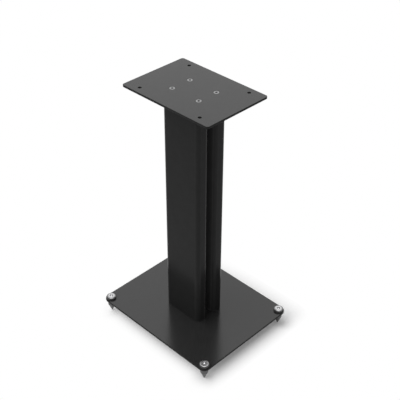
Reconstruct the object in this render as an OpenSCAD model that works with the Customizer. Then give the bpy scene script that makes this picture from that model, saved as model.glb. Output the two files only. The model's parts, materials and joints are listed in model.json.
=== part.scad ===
// Loudspeaker stand with twin pillars, a drilled top plate and four levelling spikes.
// Millimetres, +Z up, origin on the floor under the middle of the stand.
// X runs across the two pillars, Y along the cable gap between them, and the front is -Y.

/* [Stand] */
// Height from the underside of the base plate to the face that carries the loudspeaker
body_h = 580; // [200:1:1200]

/* [Top plate] */
// Width of the top plate
top_w = 173; // [160:1:320]
// Depth of the top plate
top_d = 243; // [190:1:420]
// Thickness of the top plate
top_t = 4.8; // [4.2:0.1:12]
// Corner radius of the top plate
top_corner_r = 6; // [2:0.5:14]
// Distance between the loudspeaker bolt holes across the width
bolt_pitch_w = 140; // [110:1:144]
// Distance between the loudspeaker bolt holes along the depth
bolt_pitch_d = 170; // [120:1:174]
// Diameter of the loudspeaker bolt holes
bolt_hole_d = 7; // [4:0.1:9]

/* [Base plate] */
// Width of the base plate
base_w = 279; // [180:1:420]
// Depth of the base plate
base_d = 342; // [200:1:520]
// Thickness of the base plate
base_t = 4.8; // [4.2:0.1:12]
// Corner radius of the base plate
base_corner_r = 15; // [4:0.5:18]
// Distance from a foot's axis to each of the two nearest plate edges
foot_inset = 14; // [13:0.5:40]

/* [Plate edges] */
// Width of the broken edge round both faces of both plates
plate_edge = 0.5; // [0.2:0.1:1]

/* [Pillars] */
// Width of one pillar
pillar_w = 32; // [26:1:40]
// Depth of one pillar
pillar_d = 104; // [96:1:180]
// Radius of a pillar's long edges
pillar_edge_r = 10; // [6:0.5:12]
// Wall of the pillar tube
pillar_wall = 2; // [1.2:0.1:3]
// Distance between the middles of the two pillars
pillar_pitch = 50; // [42:1:58]
// Thickness of the tapped plug welded into each end of a pillar
plug_t = 10; // [6:0.5:30]

/* [Screws] */
// Diameter of the screws that hold the plates to the pillars
screw_d = 6; // [4:0.5:6]
// Diameter of a countersunk screw head
screw_head_d = 12; // [10:0.5:12.5]
// Length of a screw, head included
screw_l = 12; // [8:1:14]
// Distance between the two screws of one pillar
screw_pitch = 75; // [50:1:76]
// Size of the screws' hexagon socket across its flats
screw_key = 4; // [2.5:0.5:4]
// Depth of the screws' hexagon socket
screw_key_depth = 2.2; // [1:0.1:2.6]

/* [Spikes] */
// Diameter of a spike's round body
spike_d = 18.2; // [14:0.1:24]
// Height of a spike's round body
spike_body_h = 14; // [6:0.5:24]
// Height of a spike's cone, down to the floor
spike_cone_h = 20; // [10:0.5:40]
// Radius of the spike's rounded point
spike_tip_r = 1.5; // [0.5:0.1:3]
// Diameter of the threaded stud
stud_d = 8; // [6:0.5:10]
// Length of stud screwed into the spike
stud_seat = 10; // [5:0.5:12]
// Size of the stud's hexagon socket across its flats
stud_key = 4; // [2.5:0.5:4.5]
// Depth of the stud's hexagon socket
stud_key_depth = 2; // [1:0.5:5]
// How far the stud's end lies below the top of its lock nut
stud_sink = 0.4; // [0.1:0.1:1]

/* [Lock nuts] */
// Diameter of a lock nut's flange
nut_d = 19.5; // [18.5:0.5:22]
// Height of a lock nut
nut_h = 6.4; // [5.4:0.1:10]
// Diameter of the flat on top of a lock nut
nut_flat_d = 14; // [11:0.5:16]
// Diameter of the lock nut's waist, inside the grip ring
nut_waist_d = 17.4; // [14:0.1:18]
// Outer diameter of the grip ring
ring_d = 23; // [20:0.5:26]
// Height of the grip ring
ring_h = 4.5; // [3:0.1:5]

/* [Hidden] */

$fn = 96;

// Room between a thread and its tapped hole, on the radius
thread_gap = 0.05;
// Room between a screw's shank and the plain hole in a plate, on the radius
shank_gap = 0.3;
// Room between a plug and the inside of its tube
plug_gap = 0.1;
// Room between the grip ring and the nut's waist, on the radius
ring_gap = 0.05;
// How far a screw head lies below the face of its plate
head_sink = 0.15;
// Room under a screw head's cone
head_gap = 0.06;
// Cylindrical rim of a screw head, above its cone
head_rim = 0.3;
// Least metal left between a bolt hole and the edge of the top plate
bolt_margin = 4;
// Slope of the drilled cone at the bottom of a hexagon socket
key_drill_slope = 30;
// Broken edge on the spikes, studs, nuts and rings
small_edge = 0.4;
// Overrun of every cut
over = 1;
// Steps in the round shoulder of a lock nut
shoulder_steps = 8;

// Levels, from the floor up
base_z = spike_cone_h + spike_body_h;
base_top_z = base_z + base_t;
stand_top_z = base_z + body_h;
top_z = stand_top_z - top_t;
pillar_h = top_z - base_top_z;

// Sides of the stand, as signs
LEFT = -1;
RIGHT = 1;
FRONT = -1;
BACK = 1;

// The bolt pattern, drawn in where the top plate is too small for it
bolt_x = min(bolt_pitch_w, top_w - bolt_hole_d - 2 * bolt_margin) / 2;
bolt_y = min(bolt_pitch_d, top_d - bolt_hole_d - 2 * bolt_margin) / 2;

foot_x = base_w / 2 - foot_inset;
foot_y = base_d / 2 - foot_inset;
stud_hole_r = stud_d / 2 + thread_gap;
stud_l = stud_seat + base_t + nut_h - stud_sink;
// Radius of a screw's cone at the face of its plate, with the head sunk in it
countersink_r = screw_head_d / 2 + head_sink + head_rim + head_gap;

black = [0.13, 0.13, 0.14];
chrome = [0.82, 0.83, 0.85];
steel = [0.55, 0.56, 0.58];
rubber = [0.06, 0.06, 0.06];

// A flat shape with round corners, made of true arcs
module rounded_rect(w, d, r) {
    square([w - 2 * r, d], center = true);
    square([w, d - 2 * r], center = true);
    for (x = [-1, 1], y = [-1, 1])
        translate([x * (w / 2 - r), y * (d / 2 - r)]) circle(r);
}

// The section of a plate's edge, from the middle out to half_w, both edges broken
function edge_section(half_w, t, edge) = [
    [0, 0], [half_w - edge, 0], [half_w, edge],
    [half_w, t - edge], [half_w - edge, t], [0, t]
];

// A bar with that section on both sides, lying along Y
module edged_bar(w, d, t, edge) {
    for (side = [0, 1])
        mirror([side, 0, 0])
            rotate([90, 0, 0])
                linear_extrude(d, center = true)
                    polygon(edge_section(w / 2, t, edge));
}

// A plate with round corners and broken edges, standing on z = 0
module plate(w, d, t, r, edge) {
    edged_bar(w, d - 2 * r, t, edge);
    rotate([0, 0, 90]) edged_bar(d, w - 2 * r, t, edge);
    for (x = [-1, 1], y = [-1, 1])
        translate([x * (w / 2 - r), y * (d / 2 - r), 0])
            rotate_extrude() polygon(edge_section(r, t, edge));
}

// Children at the four screw places, two over each pillar
module at_screws() {
    for (x = [-1, 1], y = [-1, 1])
        translate([x * pillar_pitch / 2, y * screw_pitch / 2, 0]) children();
}

// Children at the four feet
module at_feet() {
    for (x = [-1, 1], y = [-1, 1])
        translate([x * foot_x, y * foot_y, 0]) children();
}

// What a countersunk screw cuts out of a plate whose face is z = 0, downwards
module screw_cut(t) {
    translate([0, 0, -t - over]) cylinder(h = t + 2 * over, r = screw_d / 2 + shank_gap);
    translate([0, 0, -countersink_r]) cylinder(h = countersink_r, r1 = 0, r2 = countersink_r);
    cylinder(h = over, r = countersink_r);
}

// A countersunk screw with a hexagon socket, its head's face at z = -head_sink
module countersunk_screw() {
    head_r = screw_head_d / 2;
    shank_r = screw_d / 2;
    cone_h = head_r - shank_r;
    tip_z = head_sink + screw_l;
    difference() {
        rotate_extrude()
            polygon([
                [0, -head_sink], [head_r, -head_sink], [head_r, -head_sink - head_rim],
                [shank_r, -head_sink - head_rim - cone_h], [shank_r, small_edge - tip_z],
                [shank_r - small_edge, -tip_z], [0, -tip_z]
            ]);
        translate([0, 0, -head_sink - screw_key_depth]) hex_socket(screw_key, screw_key_depth);
    }
}

// A hexagon socket from z = 0 up to its mouth, across its flats, with a drilled cone below
module hex_socket(flats, depth) {
    cone_h = flats / 2 * tan(key_drill_slope);
    cylinder(h = depth + over, d = flats / cos(30), $fn = 6);
    translate([0, 0, -cone_h]) cylinder(h = cone_h, r1 = 0, r2 = flats / 2);
}

module base_plate() {
    color(black)
        difference() {
            translate([0, 0, base_z]) plate(base_w, base_d, base_t, base_corner_r, plate_edge);
            translate([0, 0, base_z]) mirror([0, 0, 1]) at_screws() screw_cut(base_t);
            translate([0, 0, base_z - over])
                at_feet() cylinder(h = base_t + 2 * over, r = stud_hole_r);
        }
}

module top_plate() {
    color(black)
        difference() {
            translate([0, 0, top_z]) plate(top_w, top_d, top_t, top_corner_r, plate_edge);
            translate([0, 0, stand_top_z]) at_screws() screw_cut(top_t);
            for (x = [-1, 1], y = [-1, 1])
                translate([x * bolt_x, y * bolt_y, top_z - over])
                    cylinder(h = top_t + 2 * over, d = bolt_hole_d);
        }
}

// One pillar: a rounded rectangular tube between the plates
module pillar(side) {
    color(black)
        translate([side * pillar_pitch / 2, 0, base_top_z])
            linear_extrude(pillar_h)
                difference() {
                    rounded_rect(pillar_w, pillar_d, pillar_edge_r);
                    rounded_rect(pillar_w - 2 * pillar_wall, pillar_d - 2 * pillar_wall,
                        pillar_edge_r - pillar_wall);
                }
}

// A tapped plug inside a pillar's end, flush with it, its lower face at z
module plug(side, z) {
    skin = 2 * (pillar_wall + plug_gap);
    color(steel)
        translate([side * pillar_pitch / 2, 0, z])
            linear_extrude(plug_t)
                difference() {
                    rounded_rect(pillar_w - skin, pillar_d - skin, pillar_edge_r - skin / 2);
                    for (y = [-1, 1])
                        translate([0, y * screw_pitch / 2]) circle(r = screw_d / 2 + thread_gap);
                }
}

module top_plate_screws() {
    color(chrome) translate([0, 0, stand_top_z]) at_screws() countersunk_screw();
}

module base_plate_screws() {
    color(chrome)
        translate([0, 0, base_z]) mirror([0, 0, 1]) at_screws() countersunk_screw();
}

// A spike: a round body against the plate's underside, and a cone with a rounded point.
// The cone's wall runs on from the point's ball without a step.
module spike(x_side, y_side) {
    body_r = spike_d / 2;
    ball_z = spike_tip_r;
    slant = atan2(body_r, spike_cone_h - ball_z)
        - asin(spike_tip_r / norm([body_r, spike_cone_h - ball_z]));
    meet_r = spike_tip_r * cos(slant);
    meet_z = ball_z - spike_tip_r * sin(slant);
    hole_z = base_z - stud_seat;
    color(steel)
        translate([x_side * foot_x, y_side * foot_y, 0])
            difference() {
                union() {
                    translate([0, 0, ball_z]) sphere(spike_tip_r);
                    rotate_extrude()
                        polygon([
                            [0, meet_z], [meet_r, meet_z], [body_r, spike_cone_h],
                            [body_r, base_z - small_edge], [body_r - small_edge, base_z],
                            [0, base_z]
                        ]);
                }
                translate([0, 0, hole_z]) cylinder(h = stud_seat + over, r = stud_hole_r);
            }
}

// The threaded stud that joins a spike to the base plate and lock nut
module stud(x_side, y_side) {
    r = stud_d / 2;
    color(steel)
        translate([x_side * foot_x, y_side * foot_y, base_z - stud_seat])
            difference() {
                rotate_extrude()
                    polygon([
                        [0, 0], [r - small_edge, 0], [r, small_edge], [r, stud_l - small_edge],
                        [r - small_edge, stud_l], [0, stud_l]
                    ]);
                translate([0, 0, stud_l - stud_key_depth]) hex_socket(stud_key, stud_key_depth);
            }
}

// The round shoulder of a nut's flange, from its rim up to the flat on top
function shoulder(rim_r, flat_r, rim_z, top_h) = [
    for (i = [0 : shoulder_steps])
        let (a = 90 * i / shoulder_steps)
        [flat_r + (rim_r - flat_r) * cos(a), rim_z + (top_h - rim_z) * sin(a)]
];

// A lock nut: a flanged nut on the stud, its waist inside the grip ring
module lock_nut(x_side, y_side) {
    waist_r = nut_waist_d / 2;
    rim_r = nut_d / 2;
    color(chrome)
        translate([x_side * foot_x, y_side * foot_y, base_top_z])
            rotate_extrude()
                polygon(concat(
                    [[stud_hole_r + small_edge, 0], [waist_r - small_edge, 0], [waist_r, small_edge],
                        [waist_r, ring_h], [rim_r, ring_h]],
                    shoulder(rim_r, nut_flat_d / 2, ring_h + small_edge, nut_h),
                    [[stud_hole_r + small_edge, nut_h], [stud_hole_r, nut_h - small_edge],
                        [stud_hole_r, small_edge]]
                ));
}

// The grip ring round a lock nut's waist, under its flange
module grip_ring(x_side, y_side) {
    outer_r = ring_d / 2;
    inner_r = nut_waist_d / 2 + ring_gap;
    color(rubber)
        translate([x_side * foot_x, y_side * foot_y, base_top_z])
            rotate_extrude()
                polygon([
                    [inner_r, 0], [outer_r - small_edge, 0], [outer_r, small_edge],
                    [outer_r, ring_h - small_edge], [outer_r - small_edge, ring_h],
                    [inner_r, ring_h]
                ]);
}

base_plate();
top_plate();
pillar(LEFT);  // left_pillar
pillar(RIGHT);  // right_pillar
plug(LEFT, base_top_z);  // left_lower_plug
plug(LEFT, top_z - plug_t);  // left_upper_plug
plug(RIGHT, base_top_z);  // right_lower_plug
plug(RIGHT, top_z - plug_t);  // right_upper_plug
base_plate_screws();
top_plate_screws();
spike(LEFT, FRONT);  // front_left_spike
spike(RIGHT, FRONT);  // front_right_spike
spike(LEFT, BACK);  // back_left_spike
spike(RIGHT, BACK);  // back_right_spike
stud(LEFT, FRONT);  // front_left_stud
stud(RIGHT, FRONT);  // front_right_stud
stud(LEFT, BACK);  // back_left_stud
stud(RIGHT, BACK);  // back_right_stud
lock_nut(LEFT, FRONT);  // front_left_lock_nut
lock_nut(RIGHT, FRONT);  // front_right_lock_nut
lock_nut(LEFT, BACK);  // back_left_lock_nut
lock_nut(RIGHT, BACK);  // back_right_lock_nut
grip_ring(LEFT, FRONT);  // front_left_grip_ring
grip_ring(RIGHT, FRONT);  // front_right_grip_ring
grip_ring(LEFT, BACK);  // back_left_grip_ring
grip_ring(RIGHT, BACK);  // back_right_grip_ring
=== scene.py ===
import json
import math

import bmesh
import bpy
from mathutils import Matrix, Vector

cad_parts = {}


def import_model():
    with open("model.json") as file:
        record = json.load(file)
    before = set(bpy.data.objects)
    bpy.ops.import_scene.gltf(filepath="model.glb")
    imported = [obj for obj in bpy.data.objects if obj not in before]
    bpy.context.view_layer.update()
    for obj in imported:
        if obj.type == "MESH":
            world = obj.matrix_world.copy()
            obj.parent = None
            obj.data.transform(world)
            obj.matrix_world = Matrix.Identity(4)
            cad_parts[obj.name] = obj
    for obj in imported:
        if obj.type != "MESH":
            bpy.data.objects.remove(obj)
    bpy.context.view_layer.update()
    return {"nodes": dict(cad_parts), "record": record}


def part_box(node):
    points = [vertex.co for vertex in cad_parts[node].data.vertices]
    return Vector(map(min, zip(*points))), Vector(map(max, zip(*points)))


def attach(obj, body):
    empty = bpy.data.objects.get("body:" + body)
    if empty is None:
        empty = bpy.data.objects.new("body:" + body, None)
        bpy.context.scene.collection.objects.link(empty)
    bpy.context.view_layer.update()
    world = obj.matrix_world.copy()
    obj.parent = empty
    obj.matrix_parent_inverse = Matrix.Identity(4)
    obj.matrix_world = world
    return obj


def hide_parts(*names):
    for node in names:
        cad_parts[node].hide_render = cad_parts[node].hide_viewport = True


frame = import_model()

MM = 0.001


# Materials

# Most of a noise lies between these values
NOISE_LOW, NOISE_HIGH = 0.3, 0.7


class Nodes:
    """The node tree of a material or a world, with short ways to add and join nodes."""

    def __init__(self, owner, output):
        owner.use_nodes = True
        self.owner = owner
        self.tree = owner.node_tree
        self.tree.nodes.clear()
        self.out = self.add(output)
        self.coords = self.add("ShaderNodeTexCoord")

    def add(self, kind, **values):
        """A new node; each value is a setting of it, or else goes to its input of that name."""
        node = self.tree.nodes.new(kind)
        for key, value in values.items():
            if hasattr(node, key):
                setattr(node, key, value)
            else:
                node.inputs[key.replace("_", " ")].default_value = value
        return node

    def link(self, a, b):
        self.tree.links.new(a, b)

    def work_out(self, kind, operation, values):
        """The outputs of a math node; each value is a plain one or another node's output."""
        node = self.add(kind, operation=operation)
        for socket, value in zip(node.inputs, values):
            if isinstance(value, bpy.types.NodeSocket):
                self.link(value, socket)
            else:
                socket.default_value = value
        return node.outputs

    def number(self, operation, *values):
        """A number worked out from numbers."""
        return self.work_out("ShaderNodeMath", operation, values)["Value"]

    def vector(self, operation, *values):
        """A vector worked out from vectors."""
        return self.work_out("ShaderNodeVectorMath", operation, values)["Vector"]

    def length(self, operation, *values):
        """A number worked out from vectors, such as their distance."""
        return self.work_out("ShaderNodeVectorMath", operation, values)["Value"]

    def spread(self, value, start, end, low, high, curve="LINEAR"):
        """A value from start to end spread over low to high, and held there beyond."""
        node = self.add("ShaderNodeMapRange", interpolation_type=curve,
                        From_Min=start, From_Max=end, To_Min=low, To_Max=high)
        self.link(value, node.inputs["Value"])
        return node.outputs["Result"]

    def noise(self, waves, detail, stretch=(1, 1, 1)):
        """Noise in object space, of so many waves a metre."""
        mapping = self.add("ShaderNodeMapping", Scale=stretch)
        self.link(self.coords.outputs["Object"], mapping.inputs["Vector"])
        noise = self.add("ShaderNodeTexNoise", Scale=waves, Detail=detail)
        self.link(mapping.outputs["Vector"], noise.inputs["Vector"])
        return noise.outputs["Fac"]

    def blend(self, noise, low, high):
        """A noise spread between two colours."""
        ramp = self.add("ShaderNodeValToRGB")
        first, last = ramp.color_ramp.elements
        first.position, first.color = NOISE_LOW, (*low, 1)
        last.position, last.color = NOISE_HIGH, (*high, 1)
        self.link(noise, ramp.inputs["Fac"])
        return ramp.outputs["Color"]

    def bump(self, height, distance, strength):
        """A normal for a skin that rises by distance where height is 1."""
        node = self.add("ShaderNodeBump", Distance=distance, Strength=strength)
        self.link(height, node.inputs["Height"])
        return node.outputs["Normal"]


# How each kind of finish varies. Its colour and its roughness have waves a metre, detail, and the lowest and
# highest share of their value. Its skin has waves a metre, detail, height and strength.
POWDER_COAT = {
    "metallic": 0.0, "tint": (1.0, 1.0, 1.0),
    "colour": (60.0, 3.0, 0.94, 1.06),
    "roughness": (240.0, 2.0, 0.96, 1.04),
    "skin": (1400.0, 2.0, 0.01 * MM, 0.3),
}
METAL = {
    "metallic": 1.0, "tint": (1.0, 1.0, 1.01),
    "colour": (300.0, 3.0, 0.94, 1.04),
    "roughness": (900.0, 3.0, 0.8, 1.2),
    "skin": (4000.0, 2.0, 0.004 * MM, 0.4),
}
SOFT_RUBBER = {
    "metallic": 0.0, "tint": (1.0, 1.0, 1.0),
    "colour": (500.0, 3.0, 0.85, 1.15),
    "roughness": (900.0, 3.0, 0.9, 1.1),
    "skin": (3000.0, 2.0, 0.02 * MM, 0.5),
}


def finish(name, kind, value, roughness, specular=0.5, grain=(1, 1, 1)):
    """A material that varies as its kind says; grain stretches the marks of its roughness and skin."""
    n = Nodes(bpy.data.materials.new(name), "ShaderNodeOutputMaterial")
    bsdf = n.add("ShaderNodeBsdfPrincipled", Metallic=kind["metallic"], Specular_IOR_Level=specular)
    waves, detail, low, high = kind["colour"]
    colours = [[value * share * part for part in kind["tint"]] for share in (low, high)]
    n.link(n.blend(n.noise(waves, detail), *colours), bsdf.inputs["Base Color"])
    waves, detail, low, high = kind["roughness"]
    rough = n.spread(n.noise(waves, detail, grain), NOISE_LOW, NOISE_HIGH, roughness * low, roughness * high)
    n.link(rough, bsdf.inputs["Roughness"])
    waves, detail, height, strength = kind["skin"]
    n.link(n.bump(n.noise(waves, detail, grain), height, strength), bsdf.inputs["Normal"])
    n.link(bsdf.outputs["BSDF"], n.out.inputs["Surface"])
    return n.owner


# The finishes with their value, their roughness and, for paint, their specular level
# The top plate's coat is a lighter copy of the base plate's: painted light from above on the same powder coat
TOP_PAINTED_LIGHT = finish("top_plate_paint", POWDER_COAT, 0.027, 0.24, 0.5)
BASE_PAINT = finish("base_plate_paint", POWDER_COAT, 0.0182, 0.20, 0.7)
EDGE_PAINT = finish("plate_edge_paint", POWDER_COAT, 0.014, 0.45, 0.06)
PILLAR_PAINT = finish("pillar_paint", POWDER_COAT, 0.0136, 0.20, 0.048)
# A lighter copy of the pillar paint for the round edges: a painted highlight along them
ROUND_PAINTED_HIGHLIGHT = finish("pillar_round_painted_highlight", POWDER_COAT, 0.0185, 0.20, 0.048)
# A lighter copy of the pillar paint for the gap walls: painted light that lifts the gap's shade
GAP_PAINTED_LIGHT = finish("pillar_gap_painted_light", POWDER_COAT, 0.034, 0.5, 0.05)
CHROME = finish("lock_nut_chrome", METAL, 0.75, 0.30)
# A darker copy of the nut's chrome for its waist, rim and shoulder: painted shade, dimmer reflections
CHROME_PAINTED_SHADE = finish("lock_nut_shoulder_chrome_painted_shade", METAL, 0.40, 0.30)
STUD_STEEL = finish("stud_steel", METAL, 0.28, 0.14)
THREAD_STEEL = finish("thread_steel", METAL, 0.35, 0.35)
# A near-black copy of the screw steel inside the screws' sockets: painted shade in the recess
SOCKET_PAINTED_SHADE = finish("socket_steel_painted_shade", METAL, 0.06, 0.4)
# A near-white copy of the steel inside the studs' sockets: a painted highlight
DRILLED_PAINTED_HIGHLIGHT = finish("drilled_steel_painted_highlight", METAL, 0.90, 0.7)
SCREW_STEEL = finish("screw_steel", METAL, 0.36, 0.25)
SPIKE_STEEL = finish("spike_steel", METAL, 0.11, 0.3, grain=(1, 1, 6))
PLUG_STEEL = finish("plug_steel", METAL, 0.40, 0.5)
RUBBER = finish("grip_rubber", SOFT_RUBBER, 0.034, 0.25)


# Mesh tools

# How many sides a round outside has, and a hole, a thread or a screw
SEGMENTS, SMALL_SEGMENTS = 96, 48
# How many steps a plate's corner has, a pillar's corner, a thread's turn, a spike's point and a small edge
CORNER_STEPS, PILLAR_STEPS, THREAD_STEPS, POINT_STEPS, EDGE_STEPS = 12, 16, 6, 9, 4
# The least angle between faces that shows as a sharp edge
SHARP = math.radians(35)


def add_object(name, data):
    """A new object in the scene."""
    obj = bpy.data.objects.new(name, data)
    bpy.context.scene.collection.objects.link(obj)
    return obj


def new_piece(name, bm, node, *finishes):
    """A mesh piece that stands for a CAD node and rides on the node's body."""
    bmesh.ops.recalc_face_normals(bm, faces=bm.faces)
    for edge in bm.edges:
        edge.smooth = all(face.smooth for face in edge.link_faces) and edge.calc_face_angle(0.0) < SHARP
    mesh = bpy.data.meshes.new(name)
    bm.to_mesh(mesh)
    bm.free()
    for material in finishes:
        mesh.materials.append(material)
    obj = add_object(name, mesh)
    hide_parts(node)
    for body, members in frame["record"]["behaviour"]["bodies"].items():
        if node in members:
            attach(obj, body)


def ring(bm, points, z):
    """Vertices at one height, for a closed ring."""
    return [bm.verts.new((x, y, z)) for x, y in points]


def skin(bm, rings, slot=0):
    """Smooth quads along a row of closed rings with as many points each."""
    for a, b in zip(rings, rings[1:]):
        for i in range(len(a)):
            j = (i + 1) % len(a)
            face = bm.faces.new((a[i], a[j], b[j], b[i]))
            face.smooth = True
            face.material_index = slot


def fan(bm, loop, tip, slot=0):
    """Smooth triangles from a closed ring to one point."""
    point = bm.verts.new(tip)
    for i in range(len(loop)):
        face = bm.faces.new((loop[i], loop[(i + 1) % len(loop)], point))
        face.smooth = True
        face.material_index = slot


def cap(bm, rings, slot=0):
    """Flat faces between an outer ring and the rings of its holes."""
    edges = []
    for points in rings:
        for i in range(len(points)):
            pair = (points[i], points[(i + 1) % len(points)])
            edges.append(bm.edges.get(pair) or bm.edges.new(pair))
    made = bmesh.ops.triangle_fill(bm, use_beauty=True, use_dissolve=False, edges=edges)
    for item in made["geom"]:
        if isinstance(item, bmesh.types.BMFace):
            item.material_index = slot
            item.smooth = False


def circle(r, centre, steps=SMALL_SEGMENTS):
    """Points round a circle."""
    angles = [2 * math.pi * i / steps for i in range(steps)]
    return [(centre[0] + r * math.cos(a), centre[1] + r * math.sin(a)) for a in angles]


def hexagon(flats, centre):
    """Points round a hexagon of that size across its flats, corners kept."""
    points = []
    for i in range(SMALL_SEGMENTS):
        a = 2 * math.pi * i / SMALL_SEGMENTS
        from_flat = (a % (math.pi / 3)) - math.pi / 6
        r = flats / 2 / math.cos(from_flat)
        points.append((centre[0] + r * math.cos(a), centre[1] + r * math.sin(a)))
    return points


def rounded_outline(w, d, r, centre=(0.0, 0.0), steps=CORNER_STEPS, guard=0.0):
    """Points of a rounded rectangle, anticlockwise; guard adds one that far along each flat."""
    points = []
    for k, (sx, sy) in enumerate(((1, 1), (-1, 1), (-1, -1), (1, -1))):
        x, y = centre[0] + sx * (w / 2 - r), centre[1] + sy * (d / 2 - r)
        for i in range(steps + 1):
            a = math.pi / 2 * (k + i / steps)
            point = (x + r * math.cos(a), y + r * math.sin(a))
            if guard and i == 0:
                points.append((point[0] + guard * math.sin(a), point[1] - guard * math.cos(a)))
            points.append(point)
            if guard and i == steps:
                points.append((point[0] - guard * math.sin(a), point[1] + guard * math.cos(a)))
    return points


def soft_levels(z0, z1, radius):
    """How far in, and at what height, a plate's rounded edge runs, from its top face to its bottom one."""
    angles = [math.pi / 2 * i / EDGE_STEPS for i in range(EDGE_STEPS + 1)]
    quarter = [(radius * (1 - math.sin(a)), radius * (1 - math.cos(a))) for a in angles]
    upper = [(inset, z1 - drop) for inset, drop in quarter]
    lower = [(inset, z0 + drop) for inset, drop in reversed(quarter)]
    return upper + lower


def arc(r, z, radius, start, end, steps=EDGE_STEPS):
    """Points of a profile's arc about (r, z), its angles in degrees from the outward direction."""
    angles = [math.radians(start + (end - start) * i / steps) for i in range(steps + 1)]
    return [(r + radius * math.cos(a), z + radius * math.sin(a)) for a in angles]


def turned(bm, profile, centre, slot=0, steps=SEGMENTS):
    """Smooth walls round an axis through (radius, z) points; returns their rings."""
    rings = [ring(bm, circle(r, centre, steps), z) for r, z in profile]
    skin(bm, rings, slot)
    return rings


def threaded(bm, crest_r, pitch, depth, centre, z0, z1, slot):
    """Rings of a helical thread from z0 to z1; returns the first and last ring."""
    count = max(2, round(abs(z1 - z0) / pitch * THREAD_STEPS))
    rings = []
    for k in range(count + 1):
        z = z0 + (z1 - z0) * k / count
        points = []
        for i in range(SMALL_SEGMENTS):
            turn = (z / pitch - i / SMALL_SEGMENTS) % 1.0
            r = crest_r - depth * (1 - abs(2 * turn - 1))
            a = 2 * math.pi * i / SMALL_SEGMENTS
            points.append((centre[0] + r * math.cos(a), centre[1] + r * math.sin(a)))
        rings.append(ring(bm, points, z))
    skin(bm, rings, slot)
    return rings[0], rings[-1]


def blunt_end(bm, last, r, centre, z, slot):
    """A flat end of radius r after the last ring of a thread."""
    end = ring(bm, circle(r, centre), z)
    skin(bm, [last, end], slot)
    cap(bm, [end], slot)


# The stand's sizes, as in the CAD model, apart from those that its boxes and its record give

BOLTS = next(mount["dims"] for mount in frame["record"]["mounts"] if mount["name"] == "speaker_bolts")
BOLT_X, BOLT_Y = BOLTS["spacing_x_mm"] / 2 * MM, BOLTS["spacing_y_mm"] / 2 * MM
BOLT_HOLE = BOLTS["hole_r_mm"] * MM
PLATE_EDGE, TOP_CORNER, BASE_CORNER = 0.5 * MM, 6 * MM, 15 * MM
PILLAR_EDGE, PILLAR_WALL = 10 * MM, 2 * MM
# A strip beside a pillar's round edges keeps the shading of its flats even
PILLAR_STRIP = 1.5 * MM
# How far round the edge, as a share of its radius, a pillar has the painted light of its gap
GAP_SHARE = 0.1
# A pillar's face is flat where a part of its normal is at least this; elsewhere, round its edges, it has the
# painted highlight
FLAT_NORMAL = 0.999
SCREW_X, SCREW_Y, SCREW_HOLE = 25 * MM, 37.5 * MM, 3.3 * MM
SCREW_R, SCREW_HEAD_R, SCREW_RIM, SCREW_SINK_R = 3 * MM, 6 * MM, 0.3 * MM, 6.51 * MM
SCREW_PITCH, SCREW_THREAD = 1 * MM, 0.61 * MM
SCREW_KEY, SCREW_KEY_DEPTH = 4 * MM, 2.2 * MM
# The screw heads' rounded edge, and how far in and down its middle point lies
SCREW_EDGE, SCREW_EDGE_MIDDLE = 0.25 * MM, 0.075 * MM
STUD_R, STUD_HOLE, STUD_PITCH, STUD_THREAD = 4 * MM, 4.05 * MM, 1.25 * MM, 0.75 * MM
STUD_KEY, STUD_KEY_DEPTH = 4 * MM, 2 * MM
# How deep the thread shows in a tapped hole
TAP_THREAD = 0.05 * MM
NUT_R, NUT_FLAT_R, NUT_WAIST_R, NUT_RIM_EDGE = 9.75 * MM, 7 * MM, 8.7 * MM, 0.15 * MM
NUT_SHOULDER_STEPS = 12
RING_R, RING_HOLE, RING_INNER_EDGE = 11.5 * MM, 8.75 * MM, 0.1 * MM
SPIKE_R, SPIKE_CONE_H, SPIKE_TIP = 9.1 * MM, 20 * MM, 1.5 * MM
SMALL_EDGE = 0.4 * MM
SCREW_END_R, STUD_END_R = SCREW_R - 2 * SMALL_EDGE, STUD_R - 1.5 * SMALL_EDGE
# The width of a hexagon socket's mouth and of its drilled cone, as shares of its size, and the mouth's depth
SOCKET_MOUTH, SOCKET_DRILL, SOCKET_LEAD_IN = 1.35, 0.98, 0.25 * MM
DRILL_SLOPE = math.tan(math.radians(30))
SIGNS = [(x, y) for x in (-1, 1) for y in (-1, 1)]
SCREW_PLACES = [(x * SCREW_X, y * SCREW_Y) for x, y in SIGNS]
# Where each corner's foot stands: on the axis that its stud turns about
CORNERS = ("front_left", "front_right", "back_left", "back_right")
JOINTS = {joint["name"]: joint for joint in frame["record"]["behaviour"]["joints"]}
FEET = {corner: JOINTS[corner + "_stud_turn"]["pos_m"][:2] for corner in CORNERS}


# Plates and pillars

def plate(name, node, corner, holes, sink_up, paint):
    """A drilled plate with softly rounded edges, its faces in one paint and its edges and holes in another.

    holes are ((x, y), radius); the screws' countersinks open on the top face, or else on the bottom one."""
    low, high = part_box(node)
    w, d = high.x - low.x, high.y - low.y
    bm = bmesh.new()
    levels = soft_levels(low.z, high.z, PLATE_EDGE)
    outlines = [(rounded_outline(w - 2 * inset, d - 2 * inset, corner - inset), z) for inset, z in levels]
    walls = [[ring(bm, outline, z) for outline, z in outlines]]
    for centre, r in holes:
        walls.append([ring(bm, circle(r + inset, centre), z) for inset, z in levels])
    cone = SCREW_SINK_R - SCREW_HOLE
    sink = [(SCREW_SINK_R, high.z), (SCREW_HOLE, high.z - cone), (SCREW_HOLE, low.z)]
    if not sink_up:
        sink = [(SCREW_HOLE, high.z), (SCREW_HOLE, low.z + cone), (SCREW_SINK_R, low.z)]
    for centre in SCREW_PLACES:
        walls.append([ring(bm, circle(r, centre), z) for r, z in sink])
    for rings in walls:
        skin(bm, rings, 1)
    for end in (0, -1):
        cap(bm, [rings[end] for rings in walls])
    new_piece(name, bm, node, paint, EDGE_PAINT)


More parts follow.
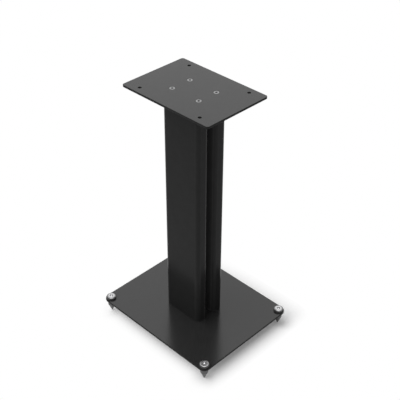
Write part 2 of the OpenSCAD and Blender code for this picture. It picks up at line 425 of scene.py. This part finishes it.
def pillar(name, node):
    """A round-edged tube between the plates; its gap wall has a lighter paint as painted light, and its round
    edges a lighter one as a painted highlight.
    """
    low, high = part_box(node)
    centre = ((low.x + high.x) / 2, 0.0)
    w, d = high.x - low.x, high.y - low.y
    bm = bmesh.new()
    tubes = []
    for inset in (0.0, PILLAR_WALL):
        outline = rounded_outline(w - 2 * inset, d - 2 * inset, PILLAR_EDGE - inset, centre,
                                  PILLAR_STEPS, PILLAR_STRIP)
        tubes.append([ring(bm, outline, z) for z in (high.z, low.z)])
    for tube in tubes:
        skin(bm, tube)
    for outer, inner in zip(*tubes):
        skin(bm, [outer, inner])
    bm.normal_update()
    gap_x = abs(centre[0]) - w / 2 + PILLAR_EDGE * GAP_SHARE
    # The gap walls take the painted light, and the round edges the painted highlight
    for face in bm.faces:
        if abs(face.calc_center_median().x) < gap_x:
            face.material_index = 1
        elif max(abs(part) for part in face.normal) < FLAT_NORMAL:
            face.material_index = 2
    new_piece(name, bm, node, PILLAR_PAINT, GAP_PAINTED_LIGHT, ROUND_PAINTED_HIGHLIGHT)


plate("top_plate_painted", "top_plate", TOP_CORNER, [((x * BOLT_X, y * BOLT_Y), BOLT_HOLE) for x, y in SIGNS],
      True, TOP_PAINTED_LIGHT)
plate("base_plate_painted", "base_plate", BASE_CORNER, [(place, STUD_HOLE) for place in FEET.values()],
      False, BASE_PAINT)
pillar("left_pillar_painted", "left_pillar")
pillar("right_pillar_painted", "right_pillar")


# Screws, studs, nuts, spikes and rings

def hex_socket(bm, flats, depth, centre, z, up, lead_in, inside):
    """A hexagon socket with a wide mouth at z and a drilled cone below; returns the mouth's ring.

    up is 1 where it opens upwards and -1 where it opens downwards; lead_in and inside are finish slots."""
    mouth = ring(bm, circle(flats / 2 * SOCKET_MOUTH, centre), z)
    walls = [ring(bm, hexagon(flats, centre), z - up * drop) for drop in (SOCKET_LEAD_IN, depth)]
    walls.append(ring(bm, circle(flats / 2 * SOCKET_DRILL, centre), z - up * depth))
    skin(bm, [mouth, walls[0]], lead_in)
    skin(bm, walls, inside)
    fan(bm, walls[-1], (*centre, z - up * (depth + flats / 2 * DRILL_SLOPE)), inside)
    return mouth


def tapped(bm, centre, z0, z1, slot):
    """The thread of a tapped hole from z0 to z1; returns its first and last ring."""
    return threaded(bm, STUD_HOLE + TAP_THREAD, STUD_PITCH, TAP_THREAD, centre, z0, z1, slot)


def screws(name, node, up):
    """The four countersunk socket screws of one plate, heads towards up, 1 or -1."""
    low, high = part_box(node)
    head_z, tip_z = (high.z, low.z) if up > 0 else (low.z, high.z)
    bm = bmesh.new()
    neck = SCREW_RIM + SCREW_HEAD_R - SCREW_R
    profile = [(SCREW_HEAD_R - SCREW_EDGE, 0.0), (SCREW_HEAD_R - SCREW_EDGE_MIDDLE, SCREW_EDGE_MIDDLE),
               (SCREW_HEAD_R, SCREW_EDGE), (SCREW_HEAD_R, SCREW_RIM), (SCREW_R, neck)]
    for centre in SCREW_PLACES:
        # The socket's mouth and walls take the near-black steel: painted shade
        mouth = hex_socket(bm, SCREW_KEY, SCREW_KEY_DEPTH, centre, head_z, up, 1, 1)
        rings = turned(bm, [(r, head_z - up * drop) for r, drop in profile], centre, 0, SMALL_SEGMENTS)
        cap(bm, [rings[0], mouth])
        first, last = threaded(bm, SCREW_R, SCREW_PITCH, SCREW_THREAD, centre,
                               head_z - up * (neck + SCREW_EDGE), tip_z + up * SMALL_EDGE, 2)
        skin(bm, [rings[-1], first], 2)
        blunt_end(bm, last, SCREW_END_R, centre, tip_z, 2)
    new_piece(name, bm, node, SCREW_STEEL, SOCKET_PAINTED_SHADE, THREAD_STEEL)


def stud(name, node, centre):
    """A threaded stud with a hexagon socket in its upper end, the socket in a near-white steel as a painted
    highlight.
    """
    low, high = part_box(node)
    bm = bmesh.new()
    # The socket's walls and drilled cone take the near-white steel: a painted highlight
    mouth = hex_socket(bm, STUD_KEY, STUD_KEY_DEPTH, centre, high.z, 1, 0, 2)
    top = ring(bm, circle(STUD_END_R, centre), high.z)
    cap(bm, [top, mouth])
    first, last = threaded(bm, STUD_R, STUD_PITCH, STUD_THREAD, centre,
                           high.z - SMALL_EDGE, low.z + SMALL_EDGE, 1)
    skin(bm, [top, first], 1)
    blunt_end(bm, last, STUD_END_R, centre, low.z, 1)
    new_piece(name, bm, node, STUD_STEEL, THREAD_STEEL, DRILLED_PAINTED_HIGHLIGHT)


def lock_nut(name, node, centre, ring_z):
    """A flanged lock nut: waist up to the grip ring's top at ring_z, round shoulder, tapped bore; all but its
    flat top are in a darker chrome as painted shade.
    """
    low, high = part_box(node)
    bm = bmesh.new()
    rim_z = ring_z + SMALL_EDGE
    profile = [(NUT_WAIST_R - SMALL_EDGE, low.z), (NUT_WAIST_R, low.z + SMALL_EDGE), (NUT_WAIST_R, ring_z),
               (NUT_R - NUT_RIM_EDGE, ring_z), (NUT_R, ring_z + NUT_RIM_EDGE)]
    for out, rise in arc(0, 0, 1, 0, 90, NUT_SHOULDER_STEPS):
        profile.append((NUT_FLAT_R + (NUT_R - NUT_FLAT_R) * out, rim_z + (high.z - rim_z) * rise))
    # Waist, rim and shoulder take the darker chrome: painted shade
    outside = turned(bm, profile, centre, 1)
    mouths = [ring(bm, circle(STUD_HOLE + SMALL_EDGE, centre), z) for z in (low.z, high.z)]
    first, last = tapped(bm, centre, low.z + SMALL_EDGE, high.z - SMALL_EDGE, 2)
    skin(bm, [mouths[0], first], 2)
    skin(bm, [last, mouths[1]], 2)
    cap(bm, [outside[-1], mouths[1]])
    cap(bm, [outside[0], mouths[0]], 1)
    new_piece(name, bm, node, CHROME, CHROME_PAINTED_SHADE, THREAD_STEEL)


def spike(name, node, centre, seat_z):
    """A turned spike: blunt point, cone, round body and a tapped hole down to the stud's seat at seat_z."""
    low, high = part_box(node)
    bm = bmesh.new()
    rise = SPIKE_CONE_H - SPIKE_TIP
    slant = math.atan2(SPIKE_R, rise) - math.asin(SPIKE_TIP / math.hypot(SPIKE_R, rise))
    profile = arc(0, low.z + SPIKE_TIP, SPIKE_TIP, -90, -math.degrees(slant), POINT_STEPS)[1:]
    shoulder = Vector((SPIKE_R, low.z + SPIKE_CONE_H))
    below = shoulder + (Vector(profile[-1]) - shoulder).normalized() * SMALL_EDGE
    above = shoulder + Vector((0, SMALL_EDGE))
    for i in range(EDGE_STEPS + 1):
        part = i / EDGE_STEPS
        profile.append(tuple(below.lerp(shoulder, part).lerp(shoulder.lerp(above, part), part)))
    profile += arc(SPIKE_R - SMALL_EDGE, high.z - SMALL_EDGE, SMALL_EDGE, 0, 90)
    outside = turned(bm, profile, centre)
    fan(bm, outside[0], (*centre, low.z))
    mouth = ring(bm, circle(STUD_HOLE + SMALL_EDGE, centre), high.z)
    cap(bm, [outside[-1], mouth])
    first, last = tapped(bm, centre, high.z - SMALL_EDGE, seat_z, 1)
    skin(bm, [mouth, first], 1)
    fan(bm, last, (*centre, seat_z - STUD_HOLE * DRILL_SLOPE), 1)
    new_piece(name, bm, node, SPIKE_STEEL, THREAD_STEEL)


def grip_ring(name, node, centre):
    """A round-edged rubber ring round a lock nut's waist."""
    low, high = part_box(node)
    bm = bmesh.new()
    profile = arc(RING_R - SMALL_EDGE, low.z + SMALL_EDGE, SMALL_EDGE, -90, 0)
    profile += arc(RING_R - SMALL_EDGE, high.z - SMALL_EDGE, SMALL_EDGE, 0, 90)
    profile += [(RING_HOLE + RING_INNER_EDGE, high.z), (RING_HOLE, high.z - RING_INNER_EDGE),
                (RING_HOLE, low.z + RING_INNER_EDGE), (RING_HOLE + RING_INNER_EDGE, low.z)]
    rings = turned(bm, profile, centre)
    skin(bm, [rings[-1], rings[0]])
    new_piece(name, bm, node, RUBBER)


screws("top_plate_socket_screws", "top_plate_screws", 1)
screws("base_plate_socket_screws", "base_plate_screws", -1)
for foot, axis in FEET.items():
    stud(foot + "_threaded_stud", foot + "_stud", axis)
    lock_nut(foot + "_plated_nut", foot + "_lock_nut", axis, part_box(foot + "_grip_ring")[1].z)
    spike(foot + "_turned_spike", foot + "_spike", axis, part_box(foot + "_stud")[0].z)
    grip_ring(foot + "_rubber_ring", foot + "_grip_ring", axis)

# Only the plugs still show as CAD nodes
for cad_object in frame["nodes"].values():
    cad_object.data.materials.clear()
    cad_object.data.materials.append(PLUG_STEEL)


# Studio

WHITE = (1.0, 1.0, 1.0, 1.0)
FLOOR_SIZE = 12.0
FLOOR_COLOUR = (0.96, 0.96, 0.96, 1.0)
# The floor keeps its shadow in a box, whose lowest and highest corner lie this far from the base plate's own,
# and turns white over the reach round it. In the box it glows by a small share of white.
SHADOW_LOW, SHADOW_HIGH = Vector((26 * MM, 14 * MM, 0)), Vector((30 * MM, 30 * MM, 0))
SHADOW_REACH = 44 * MM
SHADOW_LIFT = 0.10
# Round a place beside each foot it keeps all of its shadow
FOOT_SHADOW = Vector((*FEET["back_right"], 0)) + Vector((15 * MM, 5 * MM, 0))
FOOT_SHADOW_REACH = 40 * MM
SKY = 0.45
# The soft box's direction, the cosines at which it is full and gone, and how much it adds to white
SOFT_BOX_FROM = Vector((-0.45, -0.45, 0.77)).normalized()
SOFT_BOX_INNER, SOFT_BOX_OUTER = math.cos(math.radians(15)), math.cos(math.radians(40))
SOFT_BOX_GAIN = 2.0
KEY_SHARE = 0.9
KEY_ANGLE = 80.0
KEY_FROM = Vector((-0.50, 0.72, 0.95)).normalized()


def seen_directly(n):
    """1 for camera, glossy and transmission rays, else 0."""
    path = n.add("ShaderNodeLightPath").outputs
    mirrored = n.number("MAXIMUM", path["Is Camera Ray"], path["Is Glossy Ray"])
    return n.number("MAXIMUM", mirrored, path["Is Transmission Ray"])


def floor():
    """A pale floor that keeps the shadow near the base and turns plain white further off."""
    mesh = bpy.data.meshes.new("floor")
    h = FLOOR_SIZE / 2
    mesh.from_pydata([(-h, -h, 0), (h, -h, 0), (h, h, 0), (-h, h, 0)], [], [(0, 1, 2, 3)])
    obj = add_object("floor", mesh)
    n = Nodes(bpy.data.materials.new("floor_white"), "ShaderNodeOutputMaterial")
    low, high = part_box("base_plate")
    low, high = low + SHADOW_LOW, high + SHADOW_HIGH
    place = n.coords.outputs["Object"]
    off_centre = n.vector("ABSOLUTE", n.vector("SUBTRACT", place, (low + high) / 2))
    beyond = n.vector("MAXIMUM", n.vector("SUBTRACT", off_centre, (high - low) / 2), Vector())
    distance = n.length("LENGTH", n.vector("MULTIPLY", beyond, Vector((1, 1, 0))))
    by_plate = n.spread(distance, 0, SHADOW_REACH, SHADOW_LIFT, 1)
    distance = n.length("DISTANCE", n.vector("ABSOLUTE", place), FOOT_SHADOW)
    by_foot = n.spread(distance, 0, FOOT_SHADOW_REACH, 0, 1, "SMOOTHSTEP")
    mix = n.add("ShaderNodeMixShader")
    n.link(n.number("MULTIPLY", seen_directly(n), n.number("MULTIPLY", by_plate, by_foot)), mix.inputs[0])
    n.link(n.add("ShaderNodeBsdfDiffuse", Color=FLOOR_COLOUR).outputs[0], mix.inputs[1])
    n.link(n.add("ShaderNodeEmission", Color=WHITE).outputs[0], mix.inputs[2])
    n.link(mix.outputs[0], n.out.inputs["Surface"])
    mesh.materials.append(n.owner)


def world():
    """A pale sky that is white to the camera, with a soft box that only reflections see."""
    sky = bpy.data.worlds.new("studio")
    bpy.context.scene.world = sky
    n = Nodes(sky, "ShaderNodeOutputWorld")
    strength = n.spread(seen_directly(n), 0, 1, SKY, 1)
    facing = n.length("DOT_PRODUCT", n.coords.outputs["Generated"], SOFT_BOX_FROM)
    soft_box = n.spread(facing, SOFT_BOX_OUTER, SOFT_BOX_INNER, 0, SOFT_BOX_GAIN, "SMOOTHSTEP")
    glossy = n.add("ShaderNodeLightPath").outputs["Is Glossy Ray"]
    back = n.add("ShaderNodeBackground", Color=WHITE)
    n.link(n.number("MULTIPLY_ADD", soft_box, glossy, strength), back.inputs["Strength"])
    n.link(back.outputs[0], n.out.inputs["Surface"])


def key_light():
    """A broad lamp from behind the stand, which throws the soft shadow."""
    lamp = bpy.data.lights.new("key", "SUN")
    lamp.energy = KEY_SHARE * math.pi
    lamp.angle = math.radians(KEY_ANGLE)
    obj = add_object("key", lamp)
    obj.rotation_mode = "QUATERNION"
    obj.rotation_quaternion = (-KEY_FROM).to_track_quat("-Z", "Y")
    # So broad a lamp would show as a blot in the plates' gloss
    obj.visible_glossy = False


# The photograph's camera, as found from the plates' edges and holes
FOCAL_PIXELS = 844.45
PHOTO_PIXELS = 400
SENSOR_MM = 36.0
EYE = Vector((-1.06282, -1.06430, 1.41624))
LOOK = Vector((0.58018, 0.57129, -0.58053))
RIGHT = Vector((0.70358, -0.71060, 0.00386))
FARTHEST = 50.0


def camera():
    """The photograph's own view."""
    data = bpy.data.cameras.new("camera")
    data.sensor_width = SENSOR_MM
    data.lens = FOCAL_PIXELS * SENSOR_MM / PHOTO_PIXELS
    data.clip_end = FARTHEST
    obj = add_object("camera", data)
    back = -LOOK.normalized()
    right = (RIGHT - RIGHT.dot(back) * back).normalized()
    rows = Matrix((right, back.cross(right), back)).transposed()
    obj.matrix_world = Matrix.Translation(EYE) @ rows.to_4x4()
    bpy.context.scene.camera = obj


floor()
world()
key_light()
camera()
bpy.context.scene.view_settings.view_transform = "Standard"
